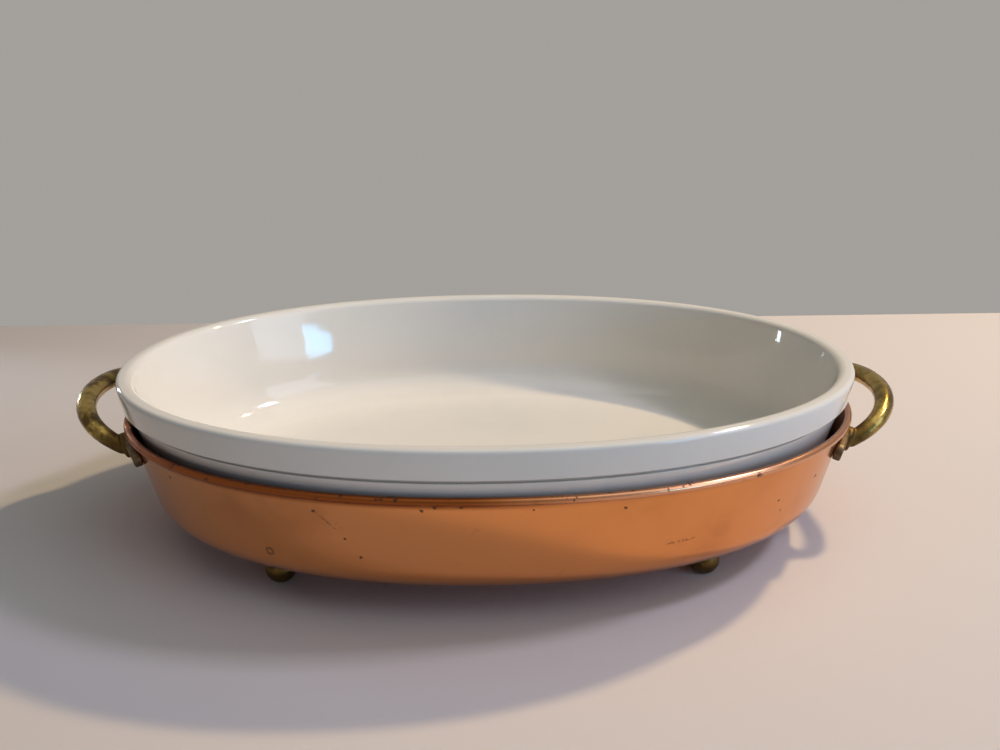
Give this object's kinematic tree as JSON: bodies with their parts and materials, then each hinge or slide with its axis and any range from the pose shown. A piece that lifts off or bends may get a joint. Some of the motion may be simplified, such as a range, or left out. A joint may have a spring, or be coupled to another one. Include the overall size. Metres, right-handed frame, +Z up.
{
  "type": "oval baking dish in serving stand",
  "caption": "Oval white porcelain baking dish that lifts out of an oval copper serving stand with brass loop handles and brass ball feet.",
  "frame": {"origin": "on the table under the middle of the stand", "axes": "+X along the oval towards the right handle, -Y towards the front, +Z up"},
  "size_m": [0.3677, 0.2234, 0.0774],
  "materials": {
    "porcelain": "white, high-gloss clear glaze",
    "copper": null,
    "brass": "cast brass, aged and rubbed bright on the high places"
  },
  "bodies": {
    "stand": {"copper_tray": "copper", "left_handle": "brass", "right_handle": "brass", "front_left_inner_rivet": "brass", "front_left_outer_rivet": "brass", "front_right_inner_rivet": "brass", "front_right_outer_rivet": "brass", "back_left_inner_rivet": "brass", "back_left_outer_rivet": "brass", "back_right_inner_rivet": "brass", "back_right_outer_rivet": "brass", "front_left_foot": "brass", "front_right_foot": "brass", "back_left_foot": "brass", "back_right_foot": "brass", "front_left_foot_rivet": "brass", "front_right_foot_rivet": "brass", "back_left_foot_rivet": "brass", "back_right_foot_rivet": "brass"},
    "dish": {"porcelain_dish": "porcelain"}
  },
  "joints": [
    {"name": "dish_lift", "type": "slide", "parent": "stand", "child": "dish", "axis": [0, 0, 1], "range_m": [0, 0.08]}
  ]
}
